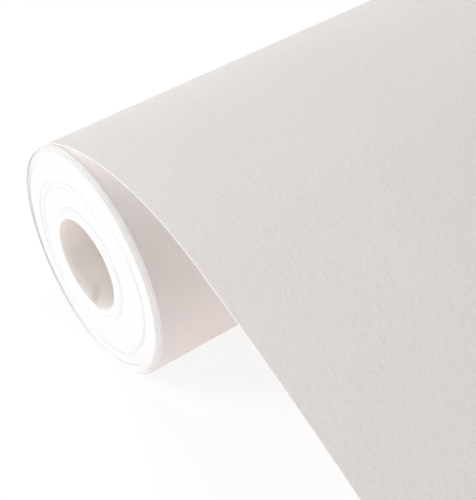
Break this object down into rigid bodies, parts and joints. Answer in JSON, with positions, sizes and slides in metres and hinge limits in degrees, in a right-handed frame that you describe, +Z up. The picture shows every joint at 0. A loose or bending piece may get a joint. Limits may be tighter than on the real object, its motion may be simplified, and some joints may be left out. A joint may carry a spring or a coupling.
{
  "type": "backdrop paper roll",
  "caption": "Roll of heavy grained off-white backdrop paper on a board core, its free end drawn off over the top in an arch and laid level.",
  "frame": {"origin": "centre of the core's bore, on the roll's axis at mid width", "axes": "+X along the roll's axis, +Z up, the sheet is drawn off towards -Y; the surface that the roll lies on is at z = -0.0488 m"},
  "size_m": [0.6642, 0.5455, 0.1096],
  "materials": {
    "paper": "matte",
    "core_lining": "matte",
    "core_board": "matte",
    "tape": "satin"
  },
  "bodies": {
    "sheet": {"outer_turn": "paper", "sheet_arch": "paper"},
    "roll": {"core_inner_ply": "core_lining", "core_board": "core_board", "core_outer_ply": "core_lining", "start_tape": "tape", "turns_inner": "paper", "turns_loose": "paper", "turns_outer": "paper", "turns_rim": "paper"},
    "lead": {"sheet_lead": "paper"}
  },
  "joints": [
    {"name": "roll_spin", "type": "hinge", "parent": "sheet", "child": "roll", "pos_m": [0, 0, 0], "axis": [1, 0, 0], "range_deg": [-90, 360]},
    {"name": "sheet_feed", "type": "slide", "parent": "sheet", "child": "lead", "axis": [0, -1, 0], "range_m": [-0.0766, 0.3064]}
  ],
  "couplings": [
    {"joint": "sheet_feed", "follows": "roll_spin", "m_per_rad": 0.04875}
  ]
}
